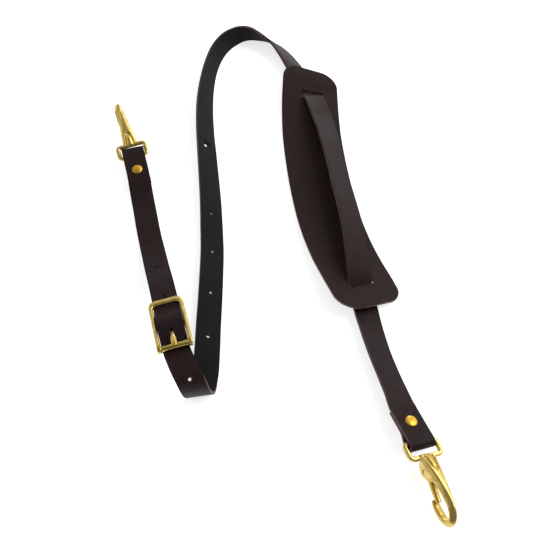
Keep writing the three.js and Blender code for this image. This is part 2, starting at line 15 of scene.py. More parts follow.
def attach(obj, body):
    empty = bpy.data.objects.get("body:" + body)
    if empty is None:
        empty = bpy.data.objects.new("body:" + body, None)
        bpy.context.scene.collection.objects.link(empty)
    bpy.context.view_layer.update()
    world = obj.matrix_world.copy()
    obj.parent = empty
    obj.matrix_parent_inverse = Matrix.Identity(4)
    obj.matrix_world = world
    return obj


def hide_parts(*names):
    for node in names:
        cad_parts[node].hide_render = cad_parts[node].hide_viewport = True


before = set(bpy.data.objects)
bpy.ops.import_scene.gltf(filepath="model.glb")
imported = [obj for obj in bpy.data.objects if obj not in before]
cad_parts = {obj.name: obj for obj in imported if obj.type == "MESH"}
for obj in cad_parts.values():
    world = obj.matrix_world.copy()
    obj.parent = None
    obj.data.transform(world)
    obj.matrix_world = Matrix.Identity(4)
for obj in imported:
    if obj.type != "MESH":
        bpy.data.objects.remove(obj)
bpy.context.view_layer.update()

# ---------------------------------------------------------------- sizes and routes, as the CAD has them
#
# The punched holes are a little smaller, as the leather closes round them.

MM = 0.001
MIDDLE = Vector((-13.9, 51.01, -0.1))
UP = Vector((0, 0, 1))

STRAP_WIDTH, STRAP_THICK, TIP_CORNER = 25.4, 3.0, 4.0
LAYER_PITCH = 3.35
HOLE_WIDE, HOLE_PITCH, HOLE_COUNT, HOLE_FROM_TIP, PRONG_HOLE, PRONG_SLOT = 3.4, 50.8, 11, 44.8, 2, 8.0
PAD_WIDTH, PAD_THICK = 70.0, 2.8
PAD_START_LEFT, PAD_START_RIGHT, PAD_END_LEFT, PAD_END_RIGHT = 19.0, 22.0, 25.0, 14.0
BAR_RADIUS, FOLD_RADIUS = 2.4, 4.2
RIGHT_FOLD = {"slack": 3, "rivet_at": 17.5, "back": 33.5, "settle": 12}
LEFT_FOLD = {"slack": 8.3, "rivet_at": 20, "back": 38, "settle": 16}
LOOP_WIDE, LOOP_LONG, LOOP_CORNER = 32.0, 15.0, 3.6
RIGHT_HANG = {"bar_back": 1.2, "swing": -1.6, "pitch": -3, "turn": -13}
LEFT_HANG = {"bar_back": 2.4, "swing": 4, "pitch": 9, "turn": 7}
CHEEK_INNER, CHEEK_OUTER, PIN_HOLE_RADIUS, PIN_HOLE_LONG = 3.7, 6.7, 1.8, 20
PIVOT_ALONG, PIVOT_UP, EYE_RADIUS, GATE_WIDE, PIN_RADIUS, PIN_LONG = 18.0, -6.4, 3.4, 6.6, 1.5, 14.6
BUCKLE_WIDE, BUCKLE_LONG, BUCKLE_CORNER, ROLLER_CORNER = 30.2, 51.6, 6.0, 2.2
SIDE_WIDE, SIDE_DEEP, TOP_WIDER, TOP_DEEPER, PIN_WIDE = 4.1, 4.4, 2.2, 0.7, 3.2
CENTRE_DROP, CENTRE_BAR_RADIUS, POST_THICK = 3.6, 2.2, 4.0
EAR_RADIUS, EAR_WIDE, EAR_ACROSS, EAR_ROUNDING = 3.75, 4.3, 14.8, 1.0
ROLLER_HALF, ROLLER_INNER, ROLLER_OUTER = 12.3, 2.0, 2.9
PRONG_EYE_HALF, PRONG_EYE_INNER, PRONG_EYE_OUTER = 1.6, 2.5, 4.0
PRONG_CUT_BACK, PRONG_CUT_FRONT, PRONG_CUT_WIDE = -13, 5, 3.9
TABLE_GAP = 0.13

UNDER_PAD_FROM_RIGHT_BAR = [
    [119, -144.5, 10.2, 198, 22],
    [113.8, -125, 7.5, 197, 25],
    [106.8, -100, 7, 195, 24],
    [101, -72, 6, 192, 19],
    [98.3, -55, 4.6, 190, 12],
    [96.9, -45, 4, 190, 9],
    [95.2, -34, 4.5, 190, 9],
]
OVER_PAD = [
    [94, -27.5, 7, 192, 9],
    [93.2, -22, 10.2, 192, 9],
    [92.5, -16.5, 13.3, 191, 10],
    [91.8, -8, 16.3, 188, 12],
    [91, 6, 18.6, 185, 14],
    [90, 25, 20, 184, 18],
    [87.5, 50, 20.5, 186, 22],
    [84, 75, 20, 188, 25],
    [80.5, 98, 19, 188, 26],
    [77, 125, 18, 188, 26],
    [73.5, 152, 17, 190, 25],
    [69.5, 178, 16, 191, 22],
    [65, 202, 15, 191, 18],
    [60.5, 222, 14, 190, 14],
    [57, 238, 12.6, 188, 11],
]
DOWN_THROUGH_SLOT = [
    [54.4, 247.5, 11, 186, 9],
    [52.6, 254, 7.5, 186, 8],
    [50.6, 260.5, 4.2, 188, 8],
    [47, 271, 3.5, 194, 9],
    [40, 287, 5, 203, 15],
]
STANDING_BEND = [
    [30.5, 307, 209, 27],
    [19, 329.5, 216, 36],
    [8, 345.5, 232, 44],
    [-4.5, 356.5, 256, 51],
    [-16, 362, 275, 61],
    [-25, 365, 287, 72],
    [-34, 365, 301, 82],
    [-44, 361, 137, 84],
    [-57, 350, 151.5, 72],
    [-68, 330, 162, 66],
    [-75, 303, 171, 64],
    [-79, 270, 177, 57],
    [-80, 236, 182, 48],
    [-78, 197, 186, 42],
    [-74, 158, 187, 37],
    [-70, 121, 187, 33],
    [-66.5, 86, 186, 29],
    [-64, 52, 184, 25],
    [-62, 20, 182, 23],
    [-61.5, -12, 181, 22],
    [-61.5, -42, 181, 20],
    [-61.8, -70, 181, 19],
    [-61.8, -93, 183, 16],
    [-62, -112, 185, 13],
]
U_BEND = [
    [-62.3, -121, 3.45, 184, 8],
    [-63.2, -129, 2.65, 185, 3],
    [-64.2, -138, 2.95, 187, -3],
    [-65.4, -144.4, 6.6, 188, -3],
    [-66.6, -148.2, 14.6, 188, -2],
    [-67.8, -150.2, 24.2, 189, -1],
    [-69.2, -150, 33.4, 191, -1],
    [-72.4, -145.6, 42, 195, -1],
    [-79.4, -132.6, 44.6, 197.5, -1],
]
FREE_END = [
    [-109.6, -34, 29.5, 198, 0],
    [-117, -9.3, 18.4, 196.5, 0],
    [-122.3, 9.5, 11.2, 196, 0],
    [-127.6, 28, 6.6, 196, 0],
    [-128.9, 32.6, 6, 196, 0],
]
SHORT_STRAP = [
    [-145.4, 99.5, 4.2, 16, 0],
    [-141.2, 82, 1.55, 16, 0],
    [-138.3, 70, 1.55, 16, 0],
    [-135.5, 58, 1.55, 16, 0],
    [-132.5, 46, 1.55, 16, 0],
    [-127.6, 28, 3, 16, 0],
    [-122.3, 9.5, 7.6, 16, 0],
    [-117, -9.3, 14.6, 16.5, 0],
    [-109.6, -34, 25.7, 18, 0],
]
THROUGH_BUCKLE = [[-25.8, -5.2], [-14, -1.4], [-7, 2.2], [0, 4.1], [7, 2.6], [14, -0.6], [25.8, -5.5]]
FOLDED_BACK = [[33, -14.5], [25.8, -12.9], [20, -10.6], [14, -8.2], [6, -7.9]]
BELOW_FREE_END = [[7, -1.2], [14, -4.4], [25.8, -9.3]]
PAD_LINE = [
    [51, 294, 12.8, 163, 5],
    [50.5, 281, 11.6, 165, 5],
    [50, 264.5, 9.2, 168, 5],
    [49.5, 245, 6.8, 172, 3],
    [49.5, 221.5, 4.4, 176, 1],
    [50.5, 190, 2.4, 180, 0],
    [54, 148, 1.9, 184, 0],
    [60, 100, 2.2, 187, 1],
    [67, 60, 3.5, 190, 3],
    [77, 22, 5.8, 195, 6],
    [87, -6, 8.4, 199, 9],
    [95, -26, 10.4, 200, 10],
    [101, -42, 11.6, 200, 11],
    [104.5, -51, 12, 200, 11],
]
PRONG_ROWS = [
    [-2.2, -0.9, 3.2, 2],
    [-5, -1.2, 3.2, 2.2],
    [-9, 0.1, 3.2, 2.2],
    [-13, 2.6, 3.2, 2.2],
    [-16.5, 3.9, 3.8, 2],
    [-20.5, 4.4, 5.4, 1.8],
    [-25, 4.5, 5.2, 1.8],
    [-28, 4.2, 3, 1.4],
]
SPINE_ROWS = [
    [5.5, 0, 16.8, 4.4, 0.95],
    [9, 0.3, 17.2, 6, 0.92],
    [14, 0.6, 16.6, 7.4, 0.88],
    [20, 1.2, 15.2, 7.8, 0.82],
    [28, 1.8, 13.2, 7.6, 0.7],
    [36.3, 2.2, 11.6, 7, 0.56],
    [44.6, 2.2, 10.2, 6.6, 0.42],
    [53, 1.4, 9, 6.4, 0.3],
    [59.4, -0.8, 8.4, 6.2, 0.22],
    [64.1, -4.4, 8.2, 6.2, 0.2],
    [65.8, -9, 8.2, 6, 0.25],
    [63.9, -13.6, 8.2, 6, 0.3],
    [59, -16.4, 8.4, 6, 0.4],
    [53, -17.1, 8.4, 5.8, 0.5],
    [45.7, -16.8, 8, 4.2, 0.6],
    [41.2, -15.4, 7.4, 3.2, 0.7],
]
CHEEK_OUTLINE = [[7, 1], [9.5, -5.5], [13, -8.4], [17.5, -9.6], [21.5, -9.4], [26, -7.4], [30, -4.4], [31, 0]]
GATE_ROWS = [
    [18, -6.6, 6.6, 5.6],
    [24, -8, 6.6, 5.4],
    [32, -9.6, 6.4, 5.2],
    [40.4, -11.2, 6.2, 4.8],
    [45.6, -12, 6, 4.2],
]

# ---------------------------------------------------------------- routes


def compass(azimuth, lift=0.0):
    """A unit vector: azimuth 0 is +X and 90 is +Y, lift is above the table."""
    turn, rise = math.radians(azimuth), math.radians(lift)
    return Vector((math.cos(rise) * math.cos(turn), math.cos(rise) * math.sin(turn), math.sin(rise)))


class Place:
    """A point with three directions: along the leather, across it, and out of its grain side."""

    def __init__(self, point, along, across, slanted=False):
        self.point, self.along = Vector(point), Vector(along).normalized()
        level = Vector(across) if slanted else across - self.along * across.dot(self.along)
        self.across = level.normalized()
        self.normal = self.along.cross(self.across).normalized()

    def at(self, along, across, up):
        return self.point + self.along * along + self.across * across + self.normal * up

    def moved(self, along, across, up):
        return Place(self.at(along, across, up), self.along, self.across)

    def matrix(self, wide=1.0, deep=1.0):
        """Local X goes across, Y up the normal and Z along, with the first two stretched."""
        columns = [*(self.across * wide), 0], [*(self.normal * deep), 0], [*self.along, 0], [*self.point, 1]
        return Matrix(columns).transposed()


def seat(x, y, z, azimuth, pitch, roll):
    along = compass(azimuth, pitch)
    level = UP.cross(along).normalized()
    return Place((x, y, z), along, Quaternion(along, math.radians(roll)) @ level)


def smooth_between(points, share):
    """A point of the smooth curve through all the points, share 0 to 1, with no loops between uneven ones."""
    last = len(points) - 1
    first = min(int(share * last), last - 1)
    weight = share * last - first
    b, c = points[first], points[first + 1]
    a = points[first - 1] if first > 0 else 2 * b - c
    d = points[first + 2] if first + 2 <= last else 2 * c - b
    gap = (c - b).length ** 0.5 or 1.0
    before, after = (b - a).length ** 0.5 or gap, (d - c).length ** 0.5 or gap
    leave = ((b - a) / before - (c - a) / (before + gap) + (c - b) / gap) * gap
    arrive = ((c - b) / gap - (d - b) / (gap + after) + (d - c) / after) * gap
    cube = 2 * b - 2 * c + leave + arrive
    square = 3 * c - 3 * b - 2 * leave - arrive
    return ((cube * weight + square) * weight + leave) * weight + b


class Route:
    """The leather's middle line through stations of (point, across), with its frame at any distance."""

    def __init__(self, stations, slanted=False):
        self.points = [point for point, _ in stations]
        self.acrosses = [across for _, across in stations]
        self.slanted = slanted
        steps = 30 * len(stations)
        self.shares, self.marks = [0.0], [0.0]
        before = self.points[0]
        for step in range(1, steps + 1):
            here = smooth_between(self.points, step / steps)
            self.shares.append(step / steps)
            self.marks.append(self.marks[-1] + (here - before).length)
            before = here
        self.length = self.marks[-1]

    def place(self, distance):
        wanted = min(max(distance, 0.0), self.length)
        after = max(1, bisect_left(self.marks, wanted))
        before, gap = self.marks[after - 1], self.marks[after] - self.marks[after - 1]
        low, high = self.shares[after - 1], self.shares[after]
        share = low + (high - low) * (wanted - before) / gap
        share = min(max(share, 0.0), 1.0)
        low, high = max(share - 1e-4, 0.0), min(share + 1e-4, 1.0)
        tangent = smooth_between(self.points, high) - smooth_between(self.points, low)
        point, across = smooth_between(self.points, share), smooth_between(self.acrosses, share)
        return Place(point, tangent, across, self.slanted)

    def rows(self, step, fixed=()):
        """Distances at most a step apart, closer in bends, with the fixed ones among them."""
        rows, distance = [0.0], 0.0
        while distance < self.length - 0.01:
            here, ahead = self.place(distance), self.place(distance + step / 4)
            turning = 4 * (here.along.angle(ahead.along, 0) + here.across.angle(ahead.across, 0))
            share = min(max(math.radians(8) / max(turning, 1e-6), 0.18), 1.0)
            distance = min(distance + share * step, self.length)
            rows.append(distance)
        clear = [row for row in rows if all(abs(row - mark) > 0.8 for mark in fixed)]
        return sorted({*clear, *fixed, 0.0, self.length})


def station(row):
    x, y, z, azimuth, lift = row
    return Vector((x, y, z)), compass(azimuth, lift)


def leaning(row):
    """A station where the leather stands on its lower edge, so its height follows from its lift."""
    x, y, azimuth, lift = row
    tilt = math.radians(lift)
    height = STRAP_WIDTH / 2 * abs(math.sin(tilt)) + STRAP_THICK / 2 * math.cos(tilt)
    return station((x, y, height + TABLE_GAP, azimuth, lift))


def stations_in(place, rows):
    return [(place.at(along, 0, up), place.across.copy()) for along, up in rows]


def fold_turn(bar, slack):
    turns = [math.radians(angle) for angle in (-90, -60, -30, 0, 30, 60, 90)]
    return stations_in(bar, [(-slack - FOLD_RADIUS * math.cos(a), FOLD_RADIUS * math.sin(a)) for a in turns])


def fold_stations(bar, slack, back, settle, **_):
    """The end of a strap folded back under itself round a bar, from its raw end to the bar's top."""
    under = FOLD_RADIUS - LAYER_PITCH
    flat = [(along, under) for along in (back, (back + settle) / 2, settle)]
    drop = [(part * settle, -FOLD_RADIUS + (FOLD_RADIUS + under) * (1 - math.cos(math.pi * part)) / 2)
            for part in (0.75, 0.5, 0.25)]
    return stations_in(bar, flat + drop) + fold_turn(bar, slack)


def leaving(bar, alongs):
    return stations_in(bar, [(along, FOLD_RADIUS) for along in alongs])


def turned_round(stations):
    return [(point, -across) for point, across in reversed(stations)]


RIGHT_BAR = seat(134.2, -192.2, 13, 111, -8, 14)
LEFT_BAR = seat(-157.6, 148.2, 10.8, -74.5, -7, 0)
BUCKLE = seat(-94.2, -90, 46.5, 105.5, -5, -3)
CENTRE_BAR = BUCKLE.moved(0, 0, -CENTRE_DROP)

long_route = Route([
    *fold_stations(RIGHT_BAR, **RIGHT_FOLD), *leaving(RIGHT_BAR, (8, 18, 27, 35)),
    *map(station, UNDER_PAD_FROM_RIGHT_BAR + OVER_PAD + DOWN_THROUGH_SLOT),
    *map(leaning, STANDING_BEND), *map(station, U_BEND),
    *stations_in(BUCKLE, THROUGH_BUCKLE), *map(station, FREE_END)])
short_route = Route([
    *fold_stations(LEFT_BAR, **LEFT_FOLD), *leaving(LEFT_BAR, (8, 16, 26)), *map(station, SHORT_STRAP),
    *turned_round([*stations_in(BUCKLE, FOLDED_BACK), *fold_turn(CENTRE_BAR, 0),
                   *stations_in(BUCKLE, BELOW_FREE_END)])])
pad_route = Route([station(row) for row in PAD_LINE], slanted=True)

# ---------------------------------------------------------------- finishes


class Value:
    """A socket that a finish computes, with arithmetic on it."""

    def __init__(self, finish, socket):
        self.finish, self.socket = finish, socket

    def math(self, operation, first, second):
        return self.finish.node("ShaderNodeMath", {"operation": operation}, {0: first, 1: second})

    def __add__(self, other):
        return self.math("ADD", self, other)

    def __radd__(self, other):
        return self.math("ADD", other, self)

    def __sub__(self, other):
        return self.math("SUBTRACT", self, other)

    def __rsub__(self, other):
        return self.math("SUBTRACT", other, self)

    def __mul__(self, other):
        return self.math("MULTIPLY", self, other)

    def __rmul__(self, other):
        return self.math("MULTIPLY", other, self)

    def between(self, low, high):
        """0 up to low, 1 from high, smooth between."""
        settings = {"interpolation_type": "SMOOTHSTEP"}
        return self.finish.node("ShaderNodeMapRange", settings, {0: self, 1: low, 2: high, 3: 0.0, 4: 1.0})


class Finish:
    """A material with one Principled surface; constants go on its own sockets."""

    def __init__(self, name, **constants):
        self.material = bpy.data.materials.new(name)
        self.material.use_nodes = True
        self.tree = self.material.node_tree
        self.surface = self.tree.nodes["Principled BSDF"]
        for socket, value in constants.items():
            self.surface.inputs[socket.replace("_", " ")].default_value = value

    def node(self, kind, settings, values, output=0):
        node = self.tree.nodes.new(kind)
        for key, value in settings.items():
            setattr(node, key, value)
        for key, value in values.items():
            if isinstance(value, Value):
                self.tree.links.new(value.socket, node.inputs[key])
            else:
                node.inputs[key].default_value = value
        return Value(self, node.outputs[output])

    def coordinates(self, stretch=None, kind="Object"):
        source = self.node("ShaderNodeTexCoord", {}, {}, kind)
        if stretch is None:
            return source
        return self.node("ShaderNodeMapping", {"vector_type": "POINT"}, {0: source, 3: stretch})

    def cloud(self, vector, scale, detail, rough=0.5):
        """Soft patches, about 0.5 in the middle; scale is in patches a metre."""
        return self.node("ShaderNodeTexNoise", {"noise_dimensions": "3D"},
                         {"Vector": vector, "Scale": scale, "Detail": detail, "Roughness": rough})

    def cells(self, vector, scale, feature="F1"):
        """Distance from the middles of packed cells, or to their edges; scale is in cells a metre."""
        return self.node("ShaderNodeTexVoronoi", {"feature": feature, "voronoi_dimensions": "3D"},
                         {"Vector": vector, "Scale": scale, "Detail": 0.0})

    def mixed(self, share, first, second):
        return self.node("ShaderNodeMix", {"data_type": "RGBA"}, {0: share, 6: first, 7: second}, 2)

    def bump(self, height, distance, strength, under=None):
        """Relief of a height times a distance in metres, over another relief if one is under it."""
        values = {"Height": height, "Distance": distance, "Strength": strength}
        if under is not None:
            values["Normal"] = under
        return self.node("ShaderNodeBump", {}, values)

    def wear(self, **outputs):
        """The finished material, with what varies over it joined to the surface."""
        for socket, value in outputs.items():
            self.tree.links.new(value.socket, self.surface.inputs[socket.replace("_", " ")])
        return self.material


def paint(code):
    """A linear colour from a hex code."""
    channels = [int(code[i:i + 2], 16) / 255 for i in (0, 2, 4)]
    return (*[c / 12.92 if c <= 0.04045 else ((c + 0.055) / 1.055) ** 2.4 for c in channels], 1.0)


def grain_leather(name, base, dark, warm, gloss):
    """Smooth dyed full-grain leather: fine pebbles, soft pull-up patches and a little wear."""
    f = Finish(name, Sheen_Weight=0.02, Sheen_Roughness=0.5, Specular_IOR_Level=0.1)
    spot = f.coordinates()
    patches = f.cloud(spot, 28, 3).between(0.32, 0.7)
    mottle = f.cloud(spot, 260, 2).between(0.3, 0.75)
    pebbles = f.cells(spot, 1500, "DISTANCE_TO_EDGE")
    creases = 1 - pebbles.between(0.0, 0.16)
    pores = 1 - f.cells(spot, 620).between(0.02, 0.11)
    colour = f.mixed(patches * 0.7, paint(base), paint(warm))
    colour = f.mixed(mottle * 0.4, colour, paint(dark))
    colour = f.mixed(creases * 0.35 + pores * 0.5, colour, paint(dark))
    roughness = gloss + 0.12 * patches + 0.1 * creases
    scuffs = f.cloud(f.coordinates((60.0, 900.0, 300.0)), 1.0, 2).between(0.62, 0.72)
    grain = f.bump(pebbles.between(0.0, 0.3) - pores * 0.6, 0.00006, 0.55)
    folds = f.bump(f.cloud(spot, 120, 3), 0.0006, 0.35, grain)
    return f.wear(Base_Color=colour, Roughness=roughness + 0.06 * scuffs, Normal=folds)


def flesh_leather(name, base, light, dark):
    """The rough back of the hide, with short loose fibres lying along the strap."""
    f = Finish(name, Sheen_Weight=0.03, Sheen_Roughness=0.6, Specular_IOR_Level=0.12)
    lie = f.coordinates((140.0, 900.0, 1.0), "UV")
    fibres = f.cloud(lie, 1.0, 4, 0.65)
    nap = f.cloud(f.coordinates(), 1600, 3, 0.7)
    patches = f.cloud(f.coordinates(), 40, 3).between(0.35, 0.7)
    colour = f.mixed(patches * 0.6, paint(base), paint(dark))
    colour = f.mixed(fibres.between(0.45, 0.75) * 0.5 + nap.between(0.5, 0.8) * 0.3, colour, paint(light))
    bumps = f.bump(fibres + nap * 0.8, 0.00022, 0.6)
    return f.wear(Base_Color=colour, Roughness=0.74 + 0.16 * nap, Normal=bumps)


def cut_edge(name, base, light, dark):
    """The cut edge: fibre layers burnished with wax, redder than the faces."""
    f = Finish(name, Specular_IOR_Level=0.4)
    spot = f.coordinates()
    layers = f.cloud(f.coordinates((350.0, 350.0, 1500.0)), 1.0, 3, 0.6)
    nicks = f.cells(spot, 900).between(0.0, 0.25)
    patches = f.cloud(spot, 90, 3).between(0.35, 0.68)
    colour = f.mixed(layers.between(0.35, 0.7), paint(base), paint(light))
    colour = f.mixed(patches * 0.6, colour, paint(dark))
    bumps = f.bump(layers + nicks * 0.3, 0.00012, 0.5)
    return f.wear(Base_Color=colour, Roughness=0.5 + 0.2 * layers, Normal=bumps)


def brass(name, base, deep, pale, gloss):
    """Tumbled cast brass: bright, with soft casting waves, fine hairlines and duller tarnished patches."""
    f = Finish(name, Metallic=1.0)
    spot = f.coordinates()
    waves = f.cloud(spot, 180, 2)
    tarnish = f.cloud(spot, 420, 4, 0.6).between(0.48, 0.78)
    hairlines = f.cloud(f.coordinates((300.0, 5200.0, 5200.0)), 1.0, 2)
    colour = f.mixed(waves.between(0.35, 0.65) * 0.6, paint(base), paint(pale))
    colour = f.mixed(tarnish * 0.45, colour, paint(deep))
    roughness = gloss + 0.14 * tarnish + 0.08 * hairlines
    waved = f.bump(waves, 0.0002, 0.2)
    return f.wear(Base_Color=colour, Roughness=roughness, Normal=f.bump(hairlines, 0.000004, 0.3, waved))


STRAP_GRAIN = grain_leather("strap_grain", "281b1c", "181011", "301e1a", 0.4)
PAD_GRAIN = grain_leather("pad_grain", "2a1c19", "19110f", "35221d", 0.44)
FLESH = flesh_leather("flesh_side", "171616", "282423", "0f0e0e")
EDGE = cut_edge("waxed_edge", "452b2b", "644442", "2a1a1a")
PAD_EDGE = cut_edge("pad_edge", "54382e", "86644c", "34231d")
CAST_BRASS = brass("cast_brass", "cbaf5e", "84682a", "e6d088", 0.27)
GATE_BRASS = brass("gate_brass", "cbae5c", "7e6226", "e4ce82", 0.26)
ROLLED_BRASS = brass("rolled_brass", "cdb15c", "84682a", "e8d486", 0.2)
RIVET_BRASS = brass("rivet_brass", "c99c34", "845f14", "dcb54c", 0.36)

# ---------------------------------------------------------------- making pieces


def edges_of(verts):
    """The edges between vertices of a group."""
    kept = set(verts)
    return list({edge for vert in verts for edge in vert.link_edges if edge.other_vert(vert) in kept})


def piece(name, bm, finishes, body, stands_for, bend=40):
    """The finished mesh as an object in the CAD's frame, riding on its body."""
    bm.transform(Matrix.Scale(MM, 4) @ Matrix.Translation(-MIDDLE))
    mesh = bpy.data.meshes.new(name)
    bm.to_mesh(mesh)
    bm.free()
    for finish in finishes:
        mesh.materials.append(finish)
    mesh.shade_smooth()
    mesh.set_sharp_from_angle(angle=math.radians(bend))
    made = bpy.data.objects.new(name, mesh)
    bpy.context.scene.collection.objects.link(made)
    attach(made, body)
    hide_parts(stands_for)


def through_modifier(bm, kind, cutter=None, **settings):
    """The mesh after one modifier, as a new bmesh; cutter is a second bmesh for a Boolean."""
    meshes = []
    for source in (bm, cutter):
        mesh = bpy.data.meshes.new("work")
        if source is not None:
            source.to_mesh(mesh)
            source.free()
        work = bpy.data.objects.new("work", mesh)
        bpy.context.scene.collection.objects.link(work)
        meshes.append(work)
    modifier = meshes[0].modifiers.new("work", kind)
    for key, value in settings.items():
        setattr(modifier, key, value)
    if cutter is not None:
        modifier.object = meshes[1]
    shown = meshes[0].evaluated_get(bpy.context.evaluated_depsgraph_get())
    result = bmesh.new()
    result.from_mesh(shown.to_mesh())
    shown.to_mesh_clear()
    for work in meshes:
        mesh = work.data
        bpy.data.objects.remove(work)
        bpy.data.meshes.remove(mesh)
    return result


def outward(bm):
    bmesh.ops.recalc_face_normals(bm, faces=bm.faces)
    return bm


def as_cast(bm, grain, smoothing):
    """Overlapping closed shapes run together as one casting with soft inner corners."""
    cast = through_modifier(outward(bm), "REMESH", mode="VOXEL", voxel_size=grain, adaptivity=0.0)
    for _ in range(smoothing):
        bmesh.ops.smooth_vert(cast, verts=cast.verts, factor=0.5,
                              use_axis_x=True, use_axis_y=True, use_axis_z=True)
    return cast


# ---------------------------------------------------------------- leather


def flat_leather(rows, lanes, side, thick, punches=(), slots=(), round_edge=0.5):
    """A flat cut of leather with holes and slots, its edges rounded; x runs along it and y across it.

    side(row, lane) gives the place across of a lane, -1 at the right edge and 1 at the left. The
    rounding is held to what the shortest edge allows: all of it on the short strap, a trace on the
    pad, and nothing on the long strap, where some points of the holes' rims coincide.
    """
    bm = bmesh.new()
    last_row, last_lane = len(rows) - 1, len(lanes) - 1
    bmesh.ops.create_grid(bm, x_segments=last_row, y_segments=last_lane, size=0.5)
    for vert in bm.verts:
        row = rows[round((vert.co.x + 0.5) * last_row)]
        lane = lanes[round((vert.co.y + 0.5) * last_lane)]
        vert.co = (row, side(row, lane), 0)
    for punch in punches:
        punch_hole(bm, *punch)
    for slot in slots:
        cut_slot(bm, *slot)
    bmesh.ops.solidify(bm, geom=bm.faces[:], thickness=thick)
    outward(bm)
    middle = (min(v.co.z for v in bm.verts) + max(v.co.z for v in bm.verts)) / 2
    bmesh.ops.translate(bm, verts=bm.verts, vec=(0, 0, -middle))
    corners = [edge for edge in bm.edges if len(edge.link_faces) == 2 and edge.calc_face_angle(0) > 1.0]
    bmesh.ops.bevel(bm, geom=corners, offset=round_edge, segments=2, profile=0.5, affect="EDGES",
                    material=-1, clamp_overlap=True)
    plan = bm.loops.layers.uv.new("plan")
    for face in bm.faces:
        face.normal_update()
        up = face.normal.z
        face.material_index = 0 if up > 0.5 else 1 if up < -0.5 else 2
        for loop in face.loops:
            loop[plan].uv = (loop.vert.co.x * MM, loop.vert.co.y * MM)
    return bm


def punch_hole(bm, along, reach, long):
    """A round or oblong hole on the middle line, in place of the square of leather round it.

    Where a bend's closer rows cross the square, some of the rim's points coincide.
    """
    inside = [v for v in bm.verts if abs(v.co.x - along) < reach - 0.1 and abs(v.co.y) < reach - 0.1]
    bmesh.ops.delete(bm, geom=inside, context="VERTS")
    rim = [e for e in bm.edges if e.is_boundary
           and all(abs(v.co.x - along) < reach + 0.1 and abs(v.co.y) < reach + 0.1 for v in e.verts)]
    part = math.tau / len(rim)
    grown = bmesh.ops.extrude_edge_only(bm, edges=rim)["geom"]
    for vert in (new for new in grown if isinstance(new, bmesh.types.BMVert)):
        angle = part * round(math.atan2(vert.co.y, vert.co.x - along) / part)
        vert.co = (along + long / 2 * math.cos(angle), HOLE_WIDE / 2 * math.sin(angle), 0)


def cut_slot(bm, along, across, long, wide):
    """A rectangular slot, long along the leather and wide across it."""
    for axis, middle, size in ((0, along, long), (1, across, wide)):
        for way in (-1, 1):
            point, normal = Vector(), Vector()
            point[axis], normal[axis] = middle + way * size / 2, 1
            bmesh.ops.bisect_plane(bm, geom=bm.verts[:] + bm.edges[:] + bm.faces[:], dist=0.02,
                                   plane_co=point, plane_no=normal)
    inside = []
    for face in bm.faces:
        centre = face.calc_center_median()
        if abs(centre.x - along) < long / 2 and abs(centre.y - across) < wide / 2:
            inside.append(face)
    bmesh.ops.delete(bm, geom=inside, context="FACES")


def laid(bm, route, relief):
    """Lays flat leather along its route; relief(along, across) lifts its surface a little."""
    places = {}
    for vert in bm.verts:
        along, across, up = vert.co
        key = round(along, 3)
        if key not in places:
            places[key] = route.place(key)
        vert.co = places[key].at(0, across, up + relief(along, across))
    return bm


def waves(along, across, seed, reach=45.0, height=0.1):
    """The slight unevenness of a surface, up to a height and about a reach long."""
    return height * noise.noise(Vector((along / reach, across / (0.7 * reach), seed)))


DENT_DEEP, DENT_REACH = 0.28, 8.5


def rivet_dent(along, across, where):
    """Leather drawn down round a set rivet."""
    off = math.hypot(along - where, across)
    return -DENT_DEEP * math.exp(-((off / DENT_REACH) ** 2))


def strap_side(length):
    """Lane places of a strap whose far tip has cut corners."""
    def side(row, lane):
        inset = max(0.0, TIP_CORNER - (length - row))
        half = STRAP_WIDTH / 2 - TIP_CORNER + math.sqrt(TIP_CORNER ** 2 - inset ** 2)
        return lane * half
    return side


def nearest(route, point, low, high):
    """Distance along a route, between low and high, whose place is nearest a point."""
    steps = [low + (high - low) * i / 200 for i in range(201)]
    return min(steps, key=lambda distance: (route.place(distance).point - point).length)


CELL = STRAP_WIDTH / 10
LANES = [-1 + 0.2 * i for i in range(11)]
TIP_ROWS = [0.15, 0.5, 1.0, 1.7, 2.6, 4.0]


def long_strap():
    length = long_route.length
    holes = [length - HOLE_FROM_TIP - i * HOLE_PITCH for i in range(HOLE_COUNT)]
    fixed = [hole + CELL * i for hole in holes for i in (-2, -1, 0, 1, 2)]
    fixed += [length - row for row in TIP_ROWS]
    punches = [(hole, 2 * CELL, PRONG_SLOT if i == PRONG_HOLE else HOLE_WIDE) for i, hole in enumerate(holes)]
    bm = flat_leather(long_route.rows(CELL, fixed), LANES, strap_side(length), STRAP_THICK, punches)
    top = nearest(long_route, RIGHT_BAR.at(RIGHT_FOLD["rivet_at"], 0, FOLD_RADIUS), 45, 90)
    laid(bm, long_route, lambda along, across: waves(along, across, 3.1) + rivet_dent(along, across, top))
    piece("long_strap_leather", bm, (STRAP_GRAIN, FLESH, EDGE), "strap", "long_strap")


def short_strap():
    def from_bar(distance):
        return (short_route.place(distance).point - CENTRE_BAR.point).dot(CENTRE_BAR.along)

    last_stretch = (short_route.length - 90 + 0.25 * i for i in range(361))
    cut = [distance for distance in last_stretch if PRONG_CUT_BACK < from_bar(distance) < PRONG_CUT_FRONT]
    start, end = cut[0], cut[-1]
    rows = short_route.rows(CELL)
    slots = [((start + end) / 2, 0.0, end - start, PRONG_CUT_WIDE)]
    bm = flat_leather(rows, LANES, lambda row, lane: lane * STRAP_WIDTH / 2, STRAP_THICK, slots=slots)
    top = nearest(short_route, LEFT_BAR.at(LEFT_FOLD["rivet_at"], 0, FOLD_RADIUS), 45, 95)
    laid(bm, short_route, lambda along, across: waves(along, across, 7.7) + rivet_dent(along, across, top))
    piece("short_strap_leather", bm, (STRAP_GRAIN, FLESH, EDGE), "strap", "short_strap")


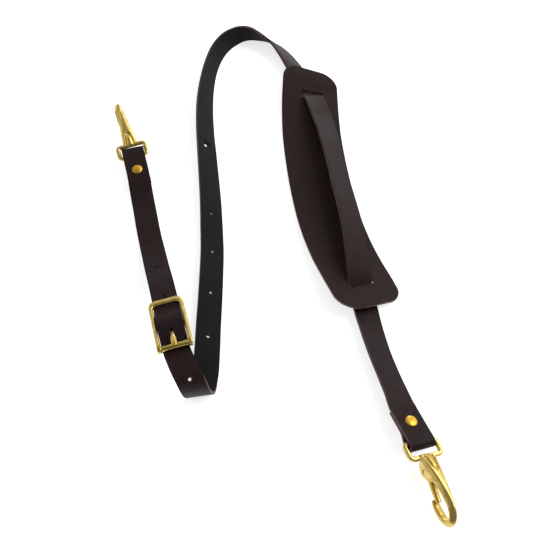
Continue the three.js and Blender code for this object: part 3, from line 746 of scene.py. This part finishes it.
PAD_END_ROWS = [0.0, 0.12, 0.45, 0.95, 1.6, 2.5, 3.6, 5.0, 6.8, 8.8, 11.0, 13.5, 16.2, 19.0, 22.0, 25.0]
PAD_SLOT_WIDE, PAD_SLOT_LONG = 26.6, 11.0
NEAR_SLOT_ALONG, NEAR_SLOT_ACROSS, FAR_SLOT_FROM_END, FAR_SLOT_ACROSS = 39.8, -2.6, 31.5, -0.5


def corner_inset(radius, to_end):
    """How far a round corner draws the edge in, at a distance from the end."""
    inside = max(0.0, radius - to_end)
    return radius - math.sqrt(radius ** 2 - inside ** 2)


def shoulder_pad():
    length = pad_route.length

    def side(row, lane):
        to_end = length - row
        start, end = (PAD_START_LEFT, PAD_END_LEFT) if lane > 0 else (PAD_START_RIGHT, PAD_END_RIGHT)
        return lane * (PAD_WIDTH / 2 - corner_inset(start, row) - corner_inset(end, to_end))

    first, cells = PAD_END_ROWS[-1], 130
    between = [first + (length - 2 * first) * i / cells for i in range(1, cells)]
    rows = [*PAD_END_ROWS, *between, *(length - row for row in reversed(PAD_END_ROWS))]
    lanes = [-1 + i / 14 for i in range(29)]
    slots = [(along, across, PAD_SLOT_LONG, PAD_SLOT_WIDE) for along, across in (
        (NEAR_SLOT_ALONG, NEAR_SLOT_ACROSS), (length - FAR_SLOT_FROM_END, FAR_SLOT_ACROSS))]
    bm = flat_leather(rows, lanes, side, PAD_THICK, slots=slots, round_edge=0.45)
    laid(bm, pad_route, lambda along, across: waves(along, across, 5.3, 60.0, 0.25))
    piece("shoulder_pad_leather", bm, (FLESH, PAD_GRAIN, PAD_EDGE), "strap", "shoulder_pad")


# ---------------------------------------------------------------- metal shapes


def narrowing(height, outer):
    """How much of its full width a section keeps at a height, -1 inside to 1 outside."""
    return 1 - (1 - outer) * max(0.0, (height + 0.2) / 1.2)


def sweep(bm, sections, sides, closed=False, square=2.0):
    """A bar through sections of (place, wide, deep, outer); square 2 is oval and more is boxier."""
    place, wide, deep, outer = sections[0]
    before = place.matrix(wide / 2, deep / 2)
    ring = bmesh.ops.create_circle(bm, segments=sides, radius=1)["verts"]
    for vert in ring:
        x, y, _ = vert.co
        swell = (abs(x) ** square + abs(y) ** square) ** (-1 / square)
        vert.co = before @ Vector((x * swell * narrowing(y * swell, outer), y * swell, 0))
    first = edges = edges_of(ring)
    for place, wide, deep, next_outer in sections[1:]:
        after = place.matrix(wide / 2, deep / 2)
        grown = bmesh.ops.extrude_edge_only(bm, edges=edges)["geom"]
        edges = [part for part in grown if isinstance(part, bmesh.types.BMEdge)]
        for vert in (part for part in grown if isinstance(part, bmesh.types.BMVert)):
            spot = before.inverted() @ vert.co
            spot.x *= narrowing(spot.y, next_outer) / narrowing(spot.y, outer)
            vert.co = after @ spot
        before, outer = after, next_outer
    if closed:
        bmesh.ops.bridge_loops(bm, edges=first + edges)
    else:
        bmesh.ops.edgeloop_fill(bm, edges=first)
        bmesh.ops.edgeloop_fill(bm, edges=edges)


def fine_rows(rows, count):
    """Rows of a table, filled in smoothly."""
    points = [Vector(row) for row in rows]
    return [tuple(smooth_between(points, i / count)) for i in range(count + 1)]


def swept_rows(bm, place, rows, count, sides, square):
    """A bar along a frame through rows of (along, up, wide, deep), and outer where it narrows outwards."""
    fine = fine_rows(rows, count)
    points = [place.at(row[0], 0, row[1]) for row in fine]
    sections = []
    for i, row in enumerate(fine):
        tangent = points[min(i + 1, count)] - points[max(i - 1, 0)]
        outer = row[4] if len(row) > 4 else 1.0
        sections.append((Place(points[i], tangent, place.across), row[2], row[3], outer))
    sweep(bm, sections, sides, square=square)


def turned(bm, place, profile, steps=40, axis="normal", seam=None):
    """A lathe shape of (radius, height) points about a frame's normal or across direction.

    A seam of (angle, width) degrees leaves it open along one side.
    """
    start, gap = seam or (0, 0)
    verts = [bm.verts.new((radius, 0, height)) for radius, height in profile]
    edges = [bm.edges.new(pair) for pair in zip(verts, verts[1:])]
    bmesh.ops.rotate(bm, verts=verts, cent=(0, 0, 0), matrix=Matrix.Rotation(math.radians(start), 3, "Z"))
    bmesh.ops.spin(bm, geom=verts + edges, cent=(0, 0, 0), axis=(0, 0, 1), angle=math.radians(360 - gap),
                   steps=steps, use_merge=not gap, use_duplicate=False)
    made = [vert for vert in bm.verts if not vert.tag]
    bmesh.ops.remove_doubles(bm, verts=made, dist=1e-4)
    if gap:
        bmesh.ops.holes_fill(bm, edges=[edge for edge in bm.edges if edge.is_boundary], sides=0)
    made = [vert for vert in bm.verts if not vert.tag]
    axes = {"normal": (place.along, place.across, place.normal),
            "across": (place.normal, place.along, place.across)}
    columns = [[*direction, 0] for direction in axes[axis]] + [[*place.point, 1]]
    bmesh.ops.transform(bm, matrix=Matrix(columns).transposed(), verts=made)
    for vert in made:
        vert.tag = True


def ring_places(place, wide, long, far_corner, near_corner):
    """Places round a rounded rectangle in a frame, each with across pointing to its inside."""
    steps = 7
    found = []
    for quarter, (way_along, way_across) in enumerate(((1, 1), (-1, 1), (-1, -1), (1, -1))):
        corner = far_corner if way_along > 0 else near_corner
        for i in range(steps + 1):
            angle = math.radians(90 * (quarter + i / steps))
            point = place.at(way_along * (long / 2 - corner) + corner * math.cos(angle),
                             way_across * (wide / 2 - corner) + corner * math.sin(angle), 0)
            outward_way = place.along * math.cos(angle) + place.across * math.sin(angle)
            found.append(Place(point, place.normal.cross(outward_way), -outward_way))
    return found


def smoothstep(value, low, high):
    """0 up to low, 1 from high, smooth between."""
    share = min(max((value - low) / (high - low), 0.0), 1.0)
    return share * share * (3 - 2 * share)


def cross_bar(bm, place, along, up, radius, wide, rounding=0.35, across=0.0):
    """A round bar across a frame with rounded ends."""
    middle = place.at(along, across, up)
    half = wide / 2
    steps = [(-half, radius - rounding), (-half + 0.3 * rounding, radius - 0.3 * rounding),
             (-half + rounding, radius), (half - rounding, radius),
             (half - 0.3 * rounding, radius - 0.3 * rounding), (half, radius - rounding)]
    sections = [(Place(middle + place.across * off, place.across, place.normal), 2 * size, 2 * size, 1.0)
                for off, size in steps]
    sweep(bm, sections, 28)


def plate(bm, place, outline, low, high, rounding):
    """A flat plate of an outline of (along, up) points, between two distances across, with soft edges."""
    rim = [bm.verts.new(place.at(along, low, up)) for along, up in outline]
    base = bmesh.ops.contextual_create(bm, geom=rim)["faces"]
    grown = bmesh.ops.extrude_face_region(bm, geom=base, use_keep_orig=True)["geom"]
    verts = [part for part in grown if isinstance(part, bmesh.types.BMVert)]
    bmesh.ops.translate(bm, verts=verts, vec=place.across * (high - low))
    shell = {face for vert in verts for face in vert.link_faces} | set(base)
    edges = list({edge for face in shell for edge in face.edges})
    bmesh.ops.recalc_face_normals(bm, faces=list(shell))
    bmesh.ops.bevel(bm, geom=edges, offset=rounding, segments=3, profile=0.5, affect="EDGES", material=-1,
                    clamp_overlap=True)


# ---------------------------------------------------------------- buckle


EAR_DIMPLE = [(2.2, 1.6), (2.6, 2.2), (5.0, 2.8)]
ROLLER_SEAM = (322, 22)


def buckle_frame():
    bm = bmesh.new()
    sections = []
    for place in ring_places(BUCKLE, BUCKLE_WIDE, BUCKLE_LONG, BUCKLE_CORNER, ROLLER_CORNER):
        along = (place.point - BUCKLE.point).dot(BUCKLE.along)
        top = smoothstep(along, BUCKLE_LONG / 2 - BUCKLE_CORNER, BUCKLE_LONG / 2)
        pin = smoothstep(-along, BUCKLE_LONG / 2 - ROLLER_CORNER, BUCKLE_LONG / 2)
        wide, deep = SIDE_WIDE + TOP_WIDER * top, SIDE_DEEP + TOP_DEEPER * top
        sections.append((place, wide + (PIN_WIDE - wide) * pin, deep + (PIN_WIDE - deep) * pin, 1.0))
    sweep(bm, sections, 20, closed=True, square=2.6)
    cross_bar(bm, BUCKLE, 0, -CENTRE_DROP, CENTRE_BAR_RADIUS, BUCKLE_WIDE)
    for way in (-1, 1):
        post = [(-3, 0.6), (3, 0.6), (2.4, -CENTRE_DROP - 1), (-2.4, -CENTRE_DROP - 1)]
        middle = way * BUCKLE_WIDE / 2
        plate(bm, BUCKLE, post, middle - POST_THICK / 2, middle + POST_THICK / 2, 0.6)
        cross_bar(bm, BUCKLE, -BUCKLE_LONG / 2, 0, EAR_RADIUS, EAR_WIDE, EAR_ROUNDING, way * EAR_ACROSS)
    bm = as_cast(bm, 0.3, 1)
    for way in (-1, 1):
        drill = bmesh.new()
        spot = BUCKLE.moved(-BUCKLE_LONG / 2 - 0.6, way * (EAR_ACROSS + 0.1), 0)
        sweep(drill, [(Place(spot.at(0, 0, up), spot.normal, spot.across), wide, wide, 1.0)
                      for up, wide in EAR_DIMPLE], 16)
        bm = through_modifier(bm, "BOOLEAN", outward(drill), operation="DIFFERENCE", solver="EXACT")
    piece("buckle_frame_brass", bm, (CAST_BRASS,), "strap", "buckle_frame")



def buckle_roller():
    bm = bmesh.new()
    half, inner, outer = ROLLER_HALF, ROLLER_INNER, ROLLER_OUTER
    profile = [(inner, -half), (outer - 0.35, -half), (outer - 0.1, -half + 0.12), (outer, -half + 0.4),
               (outer, half - 0.4), (outer - 0.1, half - 0.12), (outer - 0.35, half),
               (inner, half), (inner, -half)]
    turned(bm, BUCKLE.moved(-BUCKLE_LONG / 2, 0, 0), profile, 48, "across", ROLLER_SEAM)
    piece("buckle_roller_brass", outward(bm), (ROLLED_BRASS,), "strap", "buckle_roller")


def buckle_prong():
    bm = bmesh.new()
    half, inner, outer = PRONG_EYE_HALF, PRONG_EYE_INNER, PRONG_EYE_OUTER
    profile = [(inner, -half), (outer - 0.3, -half), (outer, -half + 0.3), (outer, half - 0.3),
               (outer - 0.3, half), (inner, half), (inner, -half)]
    turned(bm, CENTRE_BAR, profile, 40, "across")
    swept_rows(bm, BUCKLE, PRONG_ROWS, 40, 20, 2.3)
    bm = as_cast(bm, 0.24, 2)
    piece("buckle_prong_brass", bm, (CAST_BRASS,), "strap", "buckle_prong")


# ---------------------------------------------------------------- rivets


DOME_RADIUS, DOME_HIGH, DOME_FOOT = 5.7, 1.25, 0.35
SHANK_RADIUS = 2.0


def rivet(side, bar, fold):
    """A domed cap over the two layers of a fold, its shank, and the burr under them."""
    middle = bar.moved(fold["rivet_at"], 0, FOLD_RADIUS - LAYER_PITCH / 2)
    face = LAYER_PITCH / 2 + STRAP_THICK / 2
    foot = face + DOME_FOOT
    dome = [(DOME_RADIUS * math.cos(math.radians(a)), foot + DOME_HIGH * math.sin(math.radians(a)))
            for a in range(6, 90, 12)]
    rim = [(0, face - 0.3), (5.3, face - 0.3), (5.75, face - 0.05), (5.85, face + 0.25)]
    cap = [*rim, *dome, (0, foot + DOME_HIGH)]
    burr = [(0, -face - 1.3), (3.4, -face - 1.3), (4.6, -face - 0.9), (5.0, -face - 0.2),
            (4.8, -face + 0.2), (0, -face + 0.2)]
    shank = [(0, -face), (SHANK_RADIUS, -face), (SHANK_RADIUS, face), (0, face)]
    bm = bmesh.new()
    for profile in (cap, burr, shank):
        turned(bm, middle, profile)
    name = f"rivet_{side}"
    piece(name + "_brass", outward(bm), (RIVET_BRASS,), "strap", name, bend=50)


# ---------------------------------------------------------------- snap hooks


GROOVE_ROWS = [
    [7.6, 3.0, 10.5, 5],
    [10, 3.6, 10.4, 6],
    [13.5, 4.2, 9.8, 6],
    [18, 4.8, 8, 5.4],
    [21.5, 5.1, 5.2, 3.8],
    [23.2, 5.2, 2.6, 2],
]
TONGUE_ROWS = [
    [7.4, 1.8, 7, 4],
    [10, 2.2, 6.9, 4.2],
    [13.5, 2.7, 6.4, 4],
    [17.5, 3.0, 5, 3.6],
    [20.6, 3.0, 2.8, 2.4],
]


def hook_places(bar, bar_back, swing, pitch, turn):
    """The frames of a hook's strap loop and of its body, which is turned about its length on the loop.

    Along runs from the loop to the tip and the body's normal is its spine's side.
    """
    aim = Quaternion(bar.normal, math.radians(swing)) @ Quaternion(bar.across, math.radians(pitch))
    along, across = aim @ -bar.along, aim @ -bar.across
    loop = Place(bar.at(-bar_back, 0, 0) + along * LOOP_LONG / 2, along, across)
    return loop, Place(loop.point, along, Quaternion(along, math.radians(turn)) @ across)


def hook_body(side, loop, place):
    bm = bmesh.new()
    ring = ring_places(loop, LOOP_WIDE, LOOP_LONG, LOOP_CORNER, LOOP_CORNER)
    sweep(bm, [(at, 2 * BAR_RADIUS, 2 * BAR_RADIUS, 1.0) for at in ring], 18, closed=True, square=2.5)
    swept_rows(bm, place, SPINE_ROWS, 72, 40, 4.5)
    for low, high in ((CHEEK_INNER, CHEEK_OUTER), (-CHEEK_OUTER, -CHEEK_INNER)):
        plate(bm, place, CHEEK_OUTLINE, low, high, 0.6)
    bm = as_cast(bm, 0.36, 1)
    groove = bmesh.new()
    swept_rows(groove, place, GROOVE_ROWS, 24, 24, 2.6)
    bm = through_modifier(bm, "BOOLEAN", outward(groove), operation="DIFFERENCE", solver="EXACT")
    swept_rows(bm, place, TONGUE_ROWS, 24, 20, 2.2)
    bm = as_cast(bm, 0.34, 8)
    pin = bmesh.new()
    cross_bar(pin, place, PIVOT_ALONG, PIVOT_UP, PIN_HOLE_RADIUS, PIN_HOLE_LONG, rounding=0.1)
    bm = through_modifier(bm, "BOOLEAN", outward(pin), operation="DIFFERENCE", solver="EXACT")
    name = f"hook_{side}"
    piece(name + "_brass", outward(bm), (CAST_BRASS,), "strap", name)


def hook_gate(side, place):
    bm = bmesh.new()
    cross_bar(bm, place, PIVOT_ALONG, PIVOT_UP, EYE_RADIUS, GATE_WIDE)
    cross_bar(bm, place, PIVOT_ALONG, PIVOT_UP, PIN_RADIUS, PIN_LONG, rounding=0.4)
    swept_rows(bm, place, GATE_ROWS, 32, 20, 2.6)
    bm = as_cast(bm, 0.32, 2)
    name = f"gate_{side}"
    piece(name + "_brass", bm, (GATE_BRASS,), name, name)


# ---------------------------------------------------------------- the whole strap


long_strap()
short_strap()
shoulder_pad()
buckle_frame()
buckle_roller()
buckle_prong()
for side, bar, fold, hang in (
        ("right", RIGHT_BAR, RIGHT_FOLD, RIGHT_HANG), ("left", LEFT_BAR, LEFT_FOLD, LEFT_HANG)):
    loop, hook = hook_places(bar, **hang)
    hook_body(side, loop, hook)
    hook_gate(side, hook)
    rivet(side, bar, fold)


# ---------------------------------------------------------------- stage, light and camera

CAMERA_SPOT, CAMERA_TILT, CAMERA_LENS = (0.0139, -0.4682, 0.6425), 33, 48.0
FLOOR_GLOW, WORLD_GLOW = 0.7, 0.24


def make_floor():
    bm = bmesh.new()
    bmesh.ops.create_grid(bm, x_segments=1, y_segments=1, size=6.0)
    mesh = bpy.data.meshes.new("floor")
    bm.to_mesh(mesh)
    bm.free()
    floor = bpy.data.objects.new("floor", mesh)
    bpy.context.scene.collection.objects.link(floor)
    f = Finish("pale_floor", Base_Color=(0.8, 0.8, 0.8, 1), Roughness=0.9, Specular_IOR_Level=0.2,
               Emission_Color=(1, 1, 1, 1), Emission_Strength=FLOOR_GLOW)
    mesh.materials.append(f.material)


def soft_light(name, spot, aim, size, power):
    """A white rectangular lamp at a spot, turned to its aim, in metres and watts."""
    lamp = bpy.data.lights.new(name, "AREA")
    lamp.shape, lamp.size, lamp.size_y = "RECTANGLE", *size
    lamp.energy = power
    holder = bpy.data.objects.new(name, lamp)
    bpy.context.scene.collection.objects.link(holder)
    holder.location = spot
    holder.rotation_mode = "QUATERNION"
    holder.rotation_quaternion = (Vector(aim) - Vector(spot)).to_track_quat("-Z", "Y")


make_floor()
world = bpy.data.worlds.new("studio")
bpy.context.scene.world = world
world.use_nodes = True
world.node_tree.nodes["Background"].inputs["Color"].default_value = (1, 1, 1, 1)
world.node_tree.nodes["Background"].inputs["Strength"].default_value = WORLD_GLOW
soft_light("key", (3.0, 1.0, 2.8), (0, 0, 0), (3.0, 3.0), 122)
soft_light("back", (-0.1, 1.7, 1.7), (0, 0, 0), (2.4, 1.4), 8)
soft_light("rim", (0.7, 2.2, 0.45), (0.05, 0.2, 0.02), (0.9, 0.4), 11)
soft_light("card", (2.2, 2.4, 1.5), (0.1, -0.2, 0), (3.0, 2.0), 12)
soft_light("fill", (-2.3, 0.1, 1.6), (0, -0.1, 0), (3.2, 2.2), 14)

camera_data = bpy.data.cameras.new("camera")
camera_data.lens, camera_data.sensor_width = CAMERA_LENS, 36.0
camera_data.clip_start, camera_data.clip_end = 0.05, 20.0
camera = bpy.data.objects.new("camera", camera_data)
bpy.context.scene.collection.objects.link(camera)
camera.location = CAMERA_SPOT
camera.rotation_euler = (math.radians(CAMERA_TILT), 0, 0)
bpy.context.scene.camera = camera
bpy.context.scene.view_settings.view_transform = "Standard"
